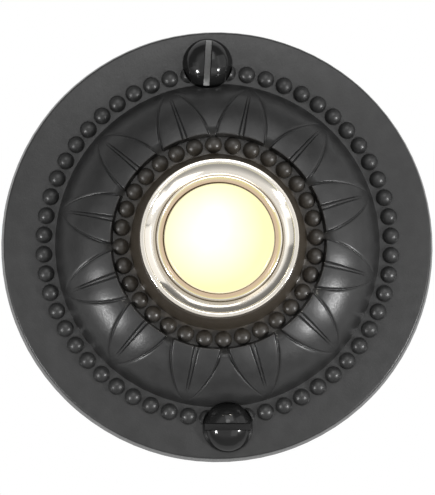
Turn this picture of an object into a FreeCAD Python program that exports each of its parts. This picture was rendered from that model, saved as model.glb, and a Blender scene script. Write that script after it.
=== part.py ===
import FreeCAD, Part
import math
import os

# A round bell push: a cast rosette with leaves and two rings of beads, held by two round-head
# screws, with a turned bezel and a lit, sprung button in its middle.
# Each piece is modelled looking at the front: x to the right, y up and z out of the wall.
# The wall is z = 0. At the end each piece is turned so that up is +Z and the front faces -Y.

V = FreeCAD.Vector

# How far a cut or a blank runs past the surface that bounds it
overrun = 1.0

# Plate of the rosette
plate_diameter = 57.15
plate_thickness = 2.4
plate_edge_draft = 0.35
plate_edge_round = 0.3
flange_width = 7.175

# Dome of the rosette: a rounded ring that rises from the plate and drops to the bead channel.
# The level insets say how far inside the channel's edge each dome arc would lie level.
dome_foot_slope = 70.0
dome_wall = 1.7
ground_level_inset = 0.52
channel_width = 2.35
channel_drop = 0.685
channel_floor = 1.8
channel_roll_width = 0.8
channel_roll_bulge = 0.62

# Twelve pointed leaves on the dome, with a groove for the vein of each
leaf_count = 12
leaf_level_inset = 2.06
leaf_end_setback = 0.27
leaf_gap = 1.38
leaf_side_radius = 9.5
leaf_end_draft = 10.0
leaf_side_draft = 6.0
leaf_tip_gap = 0.1
leaf_root = 0.3
leaf_lead = 0.5
vein_end_width = 0.56
vein_tip_width = 0.24
vein_depth = 0.24
vein_tip_gap = 1.1

# Beads
bead_diameter = 2.25
bead_pitch = 2.55
inner_bead_turn = -0.25
bead_dome_gap = 0.41
bead_channel_bite = 0.125

# Hub under the bezel
hub_rise = 4.6
hub_rim = 0.15
hub_flare = 1.0

# Mounting screws, number 6 round head
screw_edge_distance = 4.5
screw_head_diameter = 6.6
screw_head_height = 2.6
screw_head_land = 0.3
screw_slot_width = 0.95
screw_slot_depth = 1.7
screw_neck_diameter = 2.9
screw_thread_diameter = 3.5
screw_thread_length = 18.0
screw_point_length = 4.5
screw_hole_clearance = 0.15
screw_pocket_clearance = 0.1
top_slot_angle = 83.6
bottom_slot_angle = -3.2

# Bezel and its barrel
barrel_diameter = 17.2
barrel_wall = 1.0
barrel_hub_clearance = 0.1
barrel_lip = 0.87
bezel_flange = 1.7
bezel_height = 1.85
bezel_rim_width = 0.6
bezel_cove_drop = 0.85
bezel_cove_sag = 0.1
bezel_lip_width = 0.95
bezel_lip_round = 0.2
bezel_lip_bevel = 0.75
bezel_lip_bulge = 0.07
shoulder_depth = 1.6

# Washer and nut behind the hub
washer_width = 2.6
washer_thickness = 0.8
nut_width = 1.4
nut_thickness = 3.0
nut_chamfer = 0.5
nut_clearance = 0.05

# Push button: a pearl lens on a carrier that slides in the barrel
button_travel = 1.5
lens_clearance = 0.1
lens_step = 0.4
lens_side = 1.4
lens_crown = 1.2
lens_wall = 1.1
shoulder_gap = 0.05
carrier_clearance = 0.1
carrier_flange = 2.0
carrier_flare_depth = 1.0
carrier_skirt_length = 6.2
carrier_skirt_wall = 0.8
carrier_spigot_height = 0.8
carrier_spigot_clearance = 0.05
stem_diameter = 7.2
stem_bore_diameter = 4.8
stem_gap = 0.05

# Terminal base in the tail of the barrel
base_thickness = 3.0
base_clearance = 0.05
base_ledge = 0.3
base_depth = 4.2
ring_thickness = 0.5
ring_width = 0.95
ring_grip = 0.3
ring_gap_angle = 50.0
ring_clearance = 0.03
lamp_post_diameter = 4.2
lamp_post_height = 0.8

# Lamp: a small round light-emitting diode
lamp_diameter = 3.0
lamp_length = 5.3
lamp_flange_diameter = 3.8
lamp_flange_thickness = 1.0
lamp_lead_spacing = 2.54
lead_diameter = 0.5
lead_end = 0.4
lead_root = 0.5

# Contact spring, a bent strip of bronze with a window round the lamp
spring_thickness = 0.3
spring_width = 4.2
spring_height = 3.9
spring_side_gap = 0.1
spring_window_diameter = 5.0
spring_foot_length = 3.0
spring_overhang = 1.3
spring_bend_start = 2.2
spring_bend_radius = 0.8
spring_foot_setback = 0.35

# Contacts, terminals and their fixings
contact_gap = 0.06
contact_head_diameter = 2.6
contact_head_height = 0.8
contact_inset = 2.65
rivet_shank_diameter = 1.4
rivet_head_diameter = 2.0
rivet_knee_gap = 0.35
rivet_head_height = 0.6
rivet_tail_height = 0.5
rivet_tail_setback = 0.2
boss_wall = 0.3
terminal_thickness = 0.7
terminal_split = 3.2
terminal_edge_gap = 0.15
terminal_screw_inset = 2.864
terminal_screw_angle = 46.2
terminal_screw_diameter = 2.4
terminal_head_diameter = 4.2
terminal_head_height = 1.6
terminal_slot_width = 0.7
terminal_slot_depth = 0.8
terminal_slot_angle = 25.0
terminal_screw_cover = 0.6
hole_clearance = 0.05

# Resistor beside the lamp
resistor_diameter = 1.6
resistor_length = 3.8
resistor_lead_reach = 0.9
resistor_inset = 2.65
resistor_seat_gap = 0.05


def sine(degrees):
    return math.sin(math.radians(degrees))


def cosine(degrees):
    return math.cos(math.radians(degrees))


# Radii that follow from the sizes above, from the barrel outwards
barrel_radius = barrel_diameter / 2
bore_radius = barrel_radius - barrel_wall
hub_bore_radius = barrel_radius + barrel_hub_clearance
bezel_radius = barrel_radius + bezel_flange
hub_top_radius = bezel_radius + hub_rim
hub_base_radius = hub_top_radius + hub_flare
channel_radius = hub_base_radius + channel_width
leaf_end_radius = channel_radius + leaf_end_setback
plate_radius = plate_diameter / 2
dome_foot_radius = plate_radius - flange_width
screw_radius = plate_radius - screw_edge_distance
pocket_radius = screw_head_diameter / 2 + screw_pocket_clearance
bead_radius = bead_diameter / 2
outer_bead_ring = dome_foot_radius + bead_dome_gap + bead_radius
inner_bead_ring = channel_radius + bead_channel_bite - bead_radius
outer_bead_count = round(2 * math.pi * outer_bead_ring / bead_pitch)
inner_bead_count = round(2 * math.pi * inner_bead_ring / bead_pitch)
leaf_half_width = leaf_end_radius * sine(180.0 / leaf_count) - leaf_gap / 2

# Dome arcs, and the heights that follow from them
dome_width = dome_foot_radius - channel_radius
ground_crown_radius = (dome_width + ground_level_inset) / sine(dome_foot_slope)
leaf_crown_radius = (dome_width + leaf_level_inset) / sine(dome_foot_slope)
dome_height = ground_crown_radius * (1 - cosine(dome_foot_slope))
channel_height = plate_thickness + dome_height - channel_drop
roof = channel_height - channel_floor
hub_height = channel_height + hub_rise
bezel_top = hub_height + bezel_height
shoulder_height = bezel_top - shoulder_depth
carrier_radius = bore_radius - carrier_clearance
carrier_top = shoulder_height - shoulder_gap
lens_radius = carrier_radius - lens_step
mouth_radius = lens_radius + lens_clearance
base_top = -base_depth
base_back = base_top - base_thickness
base_seat_radius = bore_radius + base_ledge
base_radius = base_seat_radius - base_clearance
ring_back = base_back - ring_thickness
barrel_back = ring_back - ring_clearance - barrel_lip
lamp_seat = base_top + lamp_post_height
terminal_back = base_back - terminal_thickness
stem_radius = stem_diameter / 2
stem_bottom = base_top + spring_height + stem_gap
spring_pressed = (spring_height - spring_thickness) * (spring_height - button_travel) / spring_height
contact_x = base_radius - contact_inset
resistor_y = base_radius - resistor_inset
terminal_screw_x = (base_radius - terminal_screw_inset) * cosine(terminal_screw_angle)
terminal_screw_y = -(base_radius - terminal_screw_inset) * sine(terminal_screw_angle)
spring_eye_radius = resistor_y - resistor_diameter / 2 - spring_side_gap
spring_reach = contact_x + spring_overhang
spring_back = -base_radius + spring_foot_setback
spring_knee = spring_back + spring_foot_length
rivet_x = spring_knee - rivet_knee_gap - rivet_head_diameter / 2
contact_top = base_top + spring_pressed - contact_gap
contact_seat = contact_top - contact_head_height
lead_radius = lead_diameter / 2


def turned(start, *steps):
    """A solid turned about the z axis from a closed half section of (radius, height) points.

    A step is the end of a straight edge, or a pair of points, the middle and end of an arc.
    """
    edges = []
    here = V(start[0], 0, start[1])
    for step in steps + (start,):
        if isinstance(step[0], tuple):
            middle, end = [V(p[0], 0, p[1]) for p in step]
            edges.append(Part.Arc(here, middle, end).toShape())
        else:
            end = V(step[0], 0, step[1])
            edges.append(Part.LineSegment(here, end).toShape())
        here = end
    return Part.Face(Part.Wire(edges)).revolve(V(0, 0, 0), V(0, 0, 1), 360)


def rod(radius, low, high, x=0.0, y=0.0):
    """A plain cylinder along z between two heights."""
    return Part.makeCylinder(radius, high - low, V(x, y, low))


def tube(radius, bore, low, high):
    return rod(radius, low, high).cut(rod(bore, low - overrun, high + overrun))


def dome(radius, base, rise):
    """Steps that close a half section with part of a ball, up from its rim or down if rise < 0."""
    ball = (radius**2 + rise**2) / (2 * rise)
    half = math.asin(radius / ball) / 2
    middle = (abs(ball * math.sin(half)), base + rise - ball + ball * math.cos(half))
    return (middle, (0.0, base + rise))


def spun(shape, count, first=0.0):
    """Copies of a shape, evenly spaced about the z axis."""
    copies = []
    for k in range(count):
        copy = shape.copy()
        copy.rotate(V(0, 0, 0), V(0, 0, 1), first + 360.0 * k / count)
        copies.append(copy)
    return copies


def crown_centre(radius):
    """Centre of a dome arc that leaves the dome's foot at the foot slope."""
    return (
        dome_foot_radius - radius * sine(dome_foot_slope),
        plate_thickness - radius * cosine(dome_foot_slope),
    )


def crown_point(centre, radius, slope):
    """The point of a dome arc where its surface has this slope."""
    return (centre[0] + radius * sine(slope), centre[1] + radius * cosine(slope))


def slope_at_radius(centre, radius, r):
    return math.degrees(math.asin((r - centre[0]) / radius))


def slope_at_height(centre, radius, z):
    return math.degrees(math.acos((z - centre[1]) / radius))


ground_centre = crown_centre(ground_crown_radius)
leaf_centre = crown_centre(leaf_crown_radius)
leaf_top = crown_point(
    leaf_centre, leaf_crown_radius, slope_at_radius(leaf_centre, leaf_crown_radius, leaf_end_radius)
)[1]


def rosette_shell():
    """The turned form of the rosette: plate, dome, bead channel and hub, hollow behind."""
    crest_radius = channel_radius + channel_roll_width
    crest_slope = slope_at_radius(ground_centre, ground_crown_radius, crest_radius)
    crest = crown_point(ground_centre, ground_crown_radius, crest_slope)
    roll = (
        channel_radius + channel_roll_width / 2,
        channel_height + (crest[1] - channel_height) * channel_roll_bulge,
    )
    ground = crown_point(ground_centre, ground_crown_radius, (crest_slope + dome_foot_slope) / 2)
    front_radius = plate_radius - plate_edge_draft
    cavity_radius = ground_crown_radius - dome_wall
    mouth_slope = slope_at_height(ground_centre, cavity_radius, 0.0)
    roof_slope = slope_at_height(ground_centre, cavity_radius, roof)
    corner = plate_edge_round * (1 - cosine(45))
    return turned(
        (hub_bore_radius, roof),
        (hub_bore_radius, hub_height),
        (hub_top_radius, hub_height),
        (hub_base_radius, channel_height),
        (channel_radius, channel_height),
        (roll, crest),
        (ground, (dome_foot_radius, plate_thickness)),
        (front_radius - plate_edge_round, plate_thickness),
        (
            (front_radius - corner, plate_thickness - corner),
            (front_radius, plate_thickness - plate_edge_round),
        ),
        (plate_radius, 0.0),
        crown_point(ground_centre, cavity_radius, mouth_slope),
        (
            crown_point(ground_centre, cavity_radius, (mouth_slope + roof_slope) / 2),
            crown_point(ground_centre, cavity_radius, roof_slope),
        ),
    )


def leaf_outline(height):
    """A pointed leaf seen from the front, along +y, as a wire at this height.

    It is wider the deeper it lies below the leaf's top, by the draft of its sides and end.
    """
    rise = leaf_top - height
    side_growth = rise * math.tan(math.radians(leaf_side_draft))
    end = leaf_end_radius - rise * math.tan(math.radians(leaf_end_draft))
    tip_at_top = (leaf_top - plate_thickness) * math.tan(math.radians(leaf_side_draft))
    tip = V(0, dome_foot_radius - leaf_tip_gap - tip_at_top + side_growth, height)
    half = leaf_half_width + side_growth
    right = V(half, math.sqrt(end**2 - half**2), height)
    left = V(-right.x, right.y, height)
    half_chord = (tip - right).Length / 2
    bow = leaf_side_radius - math.sqrt(leaf_side_radius**2 - half_chord**2)
    along = (tip - right).normalize()
    right_middle = (right + tip) * 0.5 + V(along.y, -along.x, 0) * bow
    left_middle = V(-right_middle.x, right_middle.y, height)
    return Part.Wire(
        [
            Part.Arc(left, V(0, end, height), right).toShape(),
            Part.Arc(right, right_middle, tip).toShape(),
            Part.Arc(tip, left_middle, left).toShape(),
        ]
    )


def leaf():
    """One leaf: the drafted outline, cut to the leaf's own crown and rooted in the dome."""
    crest = ground_centre[1] + ground_crown_radius
    root_radius = ground_crown_radius - (crest - channel_height) - leaf_root
    inner = channel_radius - leaf_lead
    inner_slope = slope_at_radius(leaf_centre, leaf_crown_radius, inner)
    root_inner_slope = slope_at_radius(ground_centre, root_radius, inner)
    foot_depth = plate_thickness / 2
    root_foot_slope = slope_at_height(ground_centre, root_radius, foot_depth)
    layer = turned(
        crown_point(leaf_centre, leaf_crown_radius, inner_slope),
        (
            crown_point(leaf_centre, leaf_crown_radius, (inner_slope + dome_foot_slope) / 2),
            (dome_foot_radius, plate_thickness),
        ),
        (dome_foot_radius, foot_depth),
        crown_point(ground_centre, root_radius, root_foot_slope),
        (
            crown_point(ground_centre, root_radius, (root_inner_slope + root_foot_slope) / 2),
            crown_point(ground_centre, root_radius, root_inner_slope),
        ),
    )
    wires = [leaf_outline(foot_depth / 2), leaf_outline(leaf_top + overrun)]
    return Part.makeLoft(wires, True, True).common(layer)


def vein():
    """The groove of one vein, a narrow wedge that follows the leaf's crown."""
    inner = channel_radius - leaf_lead
    outer = dome_foot_radius - vein_tip_gap
    floor_radius = leaf_crown_radius - vein_depth
    air_radius = leaf_crown_radius + overrun
    slopes = [
        slope_at_radius(leaf_centre, floor_radius, inner),
        slope_at_radius(leaf_centre, floor_radius, outer),
    ]
    middle = sum(slopes) / 2
    layer = turned(
        crown_point(leaf_centre, floor_radius, slopes[0]),
        (
            crown_point(leaf_centre, floor_radius, middle),
            crown_point(leaf_centre, floor_radius, slopes[1]),
        ),
        crown_point(leaf_centre, air_radius, slopes[1]),
        (
            crown_point(leaf_centre, air_radius, middle),
            crown_point(leaf_centre, air_radius, slopes[0]),
        ),
    )
    corners = [
        V(-vein_end_width / 2, inner, 0),
        V(vein_end_width / 2, inner, 0),
        V(vein_tip_width / 2, outer + overrun, 0),
        V(-vein_tip_width / 2, outer + overrun, 0),
    ]
    wedge = Part.Face(Part.makePolygon(corners + corners[:1]))
    wedge = wedge.extrude(V(0, 0, leaf_top + 2 * overrun))
    return wedge.common(layer)


def rosette():
    """The casting: shell, leaves with veins, beads, screw pockets and screw holes."""
    outer_bead = Part.makeSphere(bead_radius, V(0, outer_bead_ring, plate_thickness))
    inner_bead = Part.makeSphere(bead_radius, V(0, inner_bead_ring, channel_height))
    half_pitch = 180.0 / leaf_count
    relief = spun(leaf(), leaf_count, half_pitch)
    relief += spun(outer_bead, outer_bead_count) + spun(inner_bead, inner_bead_count, inner_bead_turn)
    body = rosette_shell().fuse(relief)
    cuts = spun(vein(), leaf_count, half_pitch)
    for y in (screw_radius, -screw_radius):
        cuts.append(rod(pocket_radius, plate_thickness, hub_height, 0, y))
        hole = screw_thread_diameter / 2 + screw_hole_clearance
        cuts.append(rod(hole, -overrun, plate_thickness + overrun, 0, y))
    return body.cut(cuts)


def mounting_screw(y, slot_angle):
    """A slotted round-head wood screw, with its thread as a plain cylinder of its outer size."""
    head = screw_head_diameter / 2
    neck = screw_neck_diameter / 2
    thread = screw_thread_diameter / 2
    shoulder = plate_thickness + screw_head_land
    top = plate_thickness + screw_head_height
    screw = turned(
        (0.0, -screw_thread_length - screw_point_length),
        (thread, -screw_thread_length),
        (thread, 0.0),
        (neck, 0.0),
        (neck, plate_thickness),
        (head, plate_thickness),
        (head, shoulder),
        dome(head, shoulder, screw_head_height - screw_head_land),
    )
    slot = Part.makeBox(
        2 * (head + overrun),
        screw_slot_width,
        screw_slot_depth + overrun,
        V(-head - overrun, -screw_slot_width / 2, top - screw_slot_depth),
    )
    slot.rotate(V(0, 0, 0), V(0, 0, 1), slot_angle)
    screw = screw.cut(slot)
    screw.translate(V(0, y, 0))
    return screw


def bezel_shell():
    """Turned bezel and barrel in one: rounded rim, cove, bevelled lip, and a tube behind."""
    rim_inner = bezel_radius - bezel_rim_width
    rim_middle = bezel_radius - bezel_rim_width / 2
    rim_base = bezel_top - bezel_rim_width / 2
    lip_outer = mouth_radius + bezel_lip_width
    lip_crest = lip_outer - bezel_lip_round
    lip_corner = bezel_lip_round * (1 - cosine(45))
    bevel = math.atan2(bezel_lip_bevel, lip_crest - mouth_radius)
    bevel_middle = (
        (mouth_radius + lip_crest) / 2 - bezel_lip_bulge * math.sin(bevel),
        bezel_top - bezel_lip_bevel / 2 + bezel_lip_bulge * math.cos(bevel),
    )
    cove_floor = bezel_top - bezel_cove_drop
    cove_middle = (lip_outer + rim_inner) / 2
    groove_radius = base_seat_radius + ring_grip
    return turned(
        (mouth_radius, shoulder_height),
        (mouth_radius, bezel_top - bezel_lip_bevel),
        (bevel_middle, (lip_crest, bezel_top)),
        ((lip_outer - lip_corner, bezel_top - lip_corner), (lip_outer, bezel_top - bezel_lip_round)),
        (lip_outer, cove_floor),
        ((cove_middle, cove_floor - bezel_cove_sag), (rim_inner, rim_base)),
        ((rim_middle, bezel_top), (bezel_radius, rim_base)),
        (bezel_radius, hub_height),
        (barrel_radius, hub_height),
        (barrel_radius, barrel_back),
        (base_seat_radius, barrel_back),
        (base_seat_radius, ring_back - ring_clearance),
        (groove_radius, ring_back - ring_clearance),
        (groove_radius, base_back),
        (base_seat_radius, base_back),
        (base_seat_radius, base_top),
        (bore_radius, base_top),
        (bore_radius, shoulder_height),
    )


def hub_washer():
    outer = hub_bore_radius + washer_width
    return tube(outer, hub_bore_radius, roof - washer_thickness, roof)


def hub_nut():
    """Thin hexagon nut on the barrel, with its corners chamfered on both faces."""
    top = roof - washer_thickness
    bottom = top - nut_thickness
    corner = (barrel_radius + nut_width) / cosine(30)
    points = [V(corner * cosine(60 * k), corner * sine(60 * k), bottom) for k in range(7)]
    prism = Part.Face(Part.makePolygon(points)).extrude(V(0, 0, nut_thickness))
    rounded = turned(
        (0.0, bottom),
        (corner - nut_chamfer, bottom),
        (corner, bottom + nut_chamfer / 2),
        (corner, top - nut_chamfer / 2),
        (corner - nut_chamfer, top),
        (0.0, top),
    )
    hole = rod(barrel_radius + nut_clearance, bottom - overrun, top + overrun)
    return prism.common(rounded).cut(hole)


def pearl_lens():
    """Domed translucent cap of the button, hollow underneath."""
    edge = carrier_top + lens_side
    inner_radius = lens_radius - lens_wall
    inner_edge = edge - lens_wall / 2
    inner_middle, inner_top = dome(inner_radius, inner_edge, lens_crown - lens_wall / 2)
    return turned(
        (inner_radius, carrier_top),
        (lens_radius, carrier_top),
        (lens_radius, edge),
        dome(lens_radius, edge, lens_crown),
        inner_top,
        (inner_middle, (inner_radius, inner_edge)),
    )


def button_carrier():
    """Plunger under the lens: flange, guide skirt, spigot, and a stem with a flared light bore."""
    bore = stem_bore_diameter / 2
    spigot = lens_radius - lens_wall - carrier_spigot_clearance
    skirt_inner = carrier_radius - carrier_skirt_wall
    flange_bottom = carrier_top - carrier_flange
    flare_start = carrier_top - carrier_flare_depth
    spigot_top = carrier_top + carrier_spigot_height
    return turned(
        (bore, stem_bottom),
        (bore, flare_start),
        (spigot - carrier_skirt_wall, spigot_top),
        (spigot, spigot_top),
        (spigot, carrier_top),
        (carrier_radius, carrier_top),
        (carrier_radius, carrier_top - carrier_skirt_length),
        (skirt_inner, carrier_top - carrier_skirt_length),
        (skirt_inner, flange_bottom),
        (stem_radius, flange_bottom),
        (stem_radius, stem_bottom),
    )


def terminal_base():
    """Moulded insulating disc with a lamp post, a contact boss, and holes for what passes it."""
    base = rod(base_radius, base_back, base_top)
    base = base.fuse(rod(lamp_post_diameter / 2, base_top - overrun, lamp_seat))
    boss = contact_head_diameter / 2 + boss_wall
    base = base.fuse(rod(boss, base_top - overrun, contact_seat, contact_x, 0))
    shank = rivet_shank_diameter / 2 + hole_clearance
    lead = lead_radius + hole_clearance
    below = base_back - overrun
    above = contact_seat + overrun
    cuts = [
        rod(shank, below, above, contact_x, 0),
        rod(shank, below, above, rivet_x, 0),
    ]
    for side in (1, -1):
        cuts.append(rod(lead, below, lamp_seat + overrun, 0, side * lamp_lead_spacing / 2))
        x = side * (resistor_length / 2 + resistor_lead_reach)
        cuts.append(rod(lead, below, above, x, resistor_y))
        screw = terminal_screw_diameter / 2 + hole_clearance
        end = base_top - terminal_screw_cover + hole_clearance
        cuts.append(rod(screw, below, end, side * terminal_screw_x, terminal_screw_y))
    return base.cut(cuts)


def base_retaining_ring():
    """Open spring ring in the barrel's groove, behind the terminal base."""
    outer = base_seat_radius + ring_grip - ring_clearance
    ring = tube(outer, outer - ring_width, ring_back, base_back)
    gap_half = ring_gap_angle / 2
    far = outer + overrun
    behind = ring_back - overrun
    corners = [
        V(0, 0, behind),
        V(-far * math.tan(math.radians(gap_half)), far, behind),
        V(far * math.tan(math.radians(gap_half)), far, behind),
    ]
    wedge = Part.Face(Part.makePolygon(corners + corners[:1]))
    return ring.cut(wedge.extrude(V(0, 0, ring_thickness + 2 * overrun)))


def lamp():
    """Round lamp with a flange and two leads that pass through the base."""
    radius = lamp_diameter / 2
    top = lamp_seat + lamp_length
    shoulder = top - radius
    body = turned(
        (0.0, lamp_seat),
        (lamp_flange_diameter / 2, lamp_seat),
        (lamp_flange_diameter / 2, lamp_seat + lamp_flange_thickness),
        (radius, lamp_seat + lamp_flange_thickness),
        (radius, shoulder),
        dome(radius, shoulder, radius),
    )
    leads = []
    for side in (1, -1):
        y = side * lamp_lead_spacing / 2
        leads.append(rod(lead_radius, base_back - lead_end, lamp_seat + lead_root, 0, y))
    return body.fuse(leads)


def resistor():
    """Axial resistor lying on the base, its leads bent down through two holes."""
    radius = resistor_diameter / 2
    height = base_top + resistor_seat_gap + radius
    half = resistor_length / 2
    bend = lead_radius * 2
    reach = half + resistor_lead_reach
    along = V(1, 0, 0)
    body = Part.makeCylinder(radius, resistor_length, V(-half, resistor_y, height), along)
    pieces = []
    for side in (1, -1):
        start = V(side * (half - lead_root), resistor_y, height)
        turn = V(side * (reach - bend), resistor_y, height)
        middle = V(
            side * (reach - bend + bend * sine(45)), resistor_y, height - bend + bend * cosine(45)
        )
        down = V(side * reach, resistor_y, height - bend)
        end = V(side * reach, resistor_y, base_back)
        path = Part.Wire(
            [
                Part.LineSegment(start, turn).toShape(),
                Part.Arc(turn, middle, down).toShape(),
                Part.LineSegment(down, end).toShape(),
            ]
        )
        circle = Part.Wire([Part.Circle(start, along, lead_radius).toShape()])
        pieces.append(path.makePipeShell([circle], True, True))
    return body.fuse(pieces)


def contact_spring():
    """Bent bronze strip: a riveted foot, a ramp, and a level end under the button's stem.

    Its bent side view is carried across and cut to its flat outline, a strip with a round eye.
    """
    low = base_top
    high = base_top + spring_height - spring_thickness
    ramp = math.atan2(high - low, spring_bend_start - spring_knee)
    shift = spring_thickness * math.tan(ramp / 2)
    across = 2 * spring_eye_radius
    points = [
        (spring_back, low),
        (spring_knee, low),
        (spring_bend_start, high),
        (spring_reach, high),
        (spring_reach, high + spring_thickness),
        (spring_bend_start - shift, high + spring_thickness),
        (spring_knee - shift, low + spring_thickness),
        (spring_back, low + spring_thickness),
    ]
    corners = [V(x, -across / 2, z) for x, z in points]
    strip = Part.Face(Part.makePolygon(corners + corners[:1])).extrude(V(0, across, 0))
    bends = []
    for edge in strip.Edges:
        a, b = [v.Point for v in edge.Vertexes]
        across_strip = abs(abs(a.y - b.y) - across) < 1e-6
        if across_strip and spring_back < a.x < spring_reach:
            bends.append(edge)
    strip = strip.makeFillet(spring_bend_radius, bends)
    under = low - overrun
    over = high + spring_thickness + overrun
    foot_radius = base_radius - spring_foot_setback
    corner = V(-base_radius, -spring_width / 2, under)
    plan = Part.makeBox(2 * base_radius, spring_width, over - under, corner)
    plan = plan.fuse(rod(spring_eye_radius, under, over))
    plan = plan.common(rod(foot_radius, under, over))
    shank = rivet_shank_diameter / 2 + hole_clearance
    plan = plan.cut(rod(spring_window_diameter / 2, under, over))
    plan = plan.cut(rod(shank, under, over, rivet_x, 0))
    return strip.common(plan)


def rivet(x, seat, head_radius, head_height):
    """Round-head rivet through the base, with its tail closed over a terminal."""
    shank = rivet_shank_diameter / 2
    tail = terminal_back - rivet_tail_height
    tail_radius = head_radius - rivet_tail_setback
    land = head_height / 2
    piece = turned(
        (0.0, tail),
        (tail_radius, tail),
        (tail_radius, terminal_back),
        (shank, terminal_back),
        (shank, seat),
        (head_radius, seat),
        (head_radius, seat + land),
        dome(head_radius, seat + land, head_height - land),
    )
    piece.translate(V(x, 0, 0))
    return piece


def terminal_plate(side):
    """Brass terminal behind the base: a round disc's side, with a rivet hole and a screw hole."""
    inner = base_seat_radius + ring_grip - ring_clearance - ring_width - terminal_edge_gap
    plate = rod(inner, terminal_back, base_back)
    under = terminal_back - overrun
    over = base_back + overrun
    keep = Part.makeBox(inner, 2 * inner, over - under, V(terminal_split / 2, -inner, under))
    if side < 0:
        keep = keep.mirror(V(0, 0, 0), V(1, 0, 0))
    centre = contact_x if side > 0 else rivet_x
    shank = rivet_shank_diameter / 2 + hole_clearance
    screw = terminal_screw_diameter / 2 + hole_clearance
    cuts = [
        rod(shank, under, over, centre, 0),
        rod(screw, under, over, side * terminal_screw_x, terminal_screw_y),
    ]
    return plate.common(keep).cut(cuts)


def terminal_screw(side):
    """Slotted binding-head screw that clamps a wire against its terminal."""
    head = terminal_head_diameter / 2
    shank = terminal_screw_diameter / 2
    back = terminal_back - terminal_head_height
    edge = terminal_back - terminal_head_height / 2
    screw = turned(
        (0.0, base_top - terminal_screw_cover),
        (shank, base_top - terminal_screw_cover),
        (shank, terminal_back),
        (head, terminal_back),
        (head, edge),
        dome(head, edge, back - edge),
    )
    slot = Part.makeBox(
        2 * (head + overrun),
        terminal_slot_width,
        terminal_slot_depth + overrun,
        V(-head - overrun, -terminal_slot_width / 2, back - overrun),
    )
    slot.rotate(V(0, 0, 0), V(0, 0, 1), side * terminal_slot_angle)
    screw = screw.cut(slot)
    screw.translate(V(side * terminal_screw_x, terminal_screw_y, 0))
    return screw


def all_pieces():
    return {
        "rosette": rosette(),
        "mounting_screw_top": mounting_screw(screw_radius, top_slot_angle),
        "mounting_screw_bottom": mounting_screw(-screw_radius, bottom_slot_angle),
        "bezel_shell": bezel_shell(),
        "hub_washer": hub_washer(),
        "hub_nut": hub_nut(),
        "pearl_lens": pearl_lens(),
        "button_carrier": button_carrier(),
        "terminal_base": terminal_base(),
        "base_retaining_ring": base_retaining_ring(),
        "lamp": lamp(),
        "resistor": resistor(),
        "contact_spring": contact_spring(),
        "fixed_contact": rivet(
            contact_x, contact_seat, contact_head_diameter / 2, contact_head_height
        ),
        "spring_rivet": rivet(
            rivet_x, base_top + spring_thickness, rivet_head_diameter / 2, rivet_head_height
        ),
        "terminal_plate_left": terminal_plate(-1),
        "terminal_plate_right": terminal_plate(1),
        "terminal_screw_left": terminal_screw(-1),
        "terminal_screw_right": terminal_screw(1),
    }


def main():
    os.makedirs("parts", exist_ok=True)
    for name, piece in all_pieces().items():
        piece.rotate(V(0, 0, 0), V(1, 0, 0), 90)
        piece.exportStep("parts/" + name + ".step")


main()
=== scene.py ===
import math

import bpy
import numpy as np
from mathutils import Matrix, Quaternion, Vector


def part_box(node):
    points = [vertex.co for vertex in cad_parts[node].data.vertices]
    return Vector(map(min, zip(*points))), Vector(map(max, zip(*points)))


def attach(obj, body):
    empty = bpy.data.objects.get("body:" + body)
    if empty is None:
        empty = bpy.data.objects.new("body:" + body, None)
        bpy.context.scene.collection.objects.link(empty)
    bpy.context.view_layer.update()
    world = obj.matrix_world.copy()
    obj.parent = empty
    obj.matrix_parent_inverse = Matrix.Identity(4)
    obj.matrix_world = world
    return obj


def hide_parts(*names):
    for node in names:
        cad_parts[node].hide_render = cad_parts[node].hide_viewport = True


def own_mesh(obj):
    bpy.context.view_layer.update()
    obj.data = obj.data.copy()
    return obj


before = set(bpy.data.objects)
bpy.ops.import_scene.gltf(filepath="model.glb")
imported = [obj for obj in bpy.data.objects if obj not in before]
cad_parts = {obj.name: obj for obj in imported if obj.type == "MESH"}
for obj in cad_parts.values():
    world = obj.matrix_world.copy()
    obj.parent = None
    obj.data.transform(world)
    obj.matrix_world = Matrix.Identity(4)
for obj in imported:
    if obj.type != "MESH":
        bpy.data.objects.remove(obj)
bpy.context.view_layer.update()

# A lit bell push: a black cast rosette with leaves and beads, two slotted screws, a polished
# nickel bezel and a glowing pearl button. Shapes are worked out in millimetres looking at the
# front: x to the right, y up and z out of the wall, with the wall at z = 0.
MM = 0.001
TURN = 2 * math.pi


def size(node):
    """Lowest and highest x, y and z of a CAD node in millimetres, looking at the front."""
    low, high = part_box(node)
    return (
        np.array([low.x, low.z, -high.y]) / MM,
        np.array([high.x, high.z, -low.y]) / MM,
    )


# Driving sizes, read from the frame where it has them
PLATE_RADIUS = size("rosette")[1][0]
HUB_HEIGHT = size("rosette")[1][2]
BEZEL_RADIUS = size("bezel_shell")[1][0]
BEZEL_TOP = size("bezel_shell")[1][2]
BARREL_BACK = size("bezel_shell")[0][2]
LENS_RADIUS = size("pearl_lens")[1][0]
LENS_FOOT = size("pearl_lens")[0][2]
LENS_TOP = size("pearl_lens")[1][2]
SCREW_HEAD_RADIUS = size("mounting_screw_top")[1][0]
SCREW_POINT = size("mounting_screw_top")[0][2]
SCREW_Y = size("mounting_screw_top")[1][1] - SCREW_HEAD_RADIUS
BASE_FRONT = size("contact_spring")[0][2]
SPRING_TOP = size("contact_spring")[1][2]
SPRING_BACK, SPRING_TIP = size("contact_spring")[0][0], size("contact_spring")[1][0]

# Rosette: plate, dome, channel and hub
PLATE_THICKNESS = 2.4
PLATE_DRAFT = 0.35
PLATE_ROUND = 0.3
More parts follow.
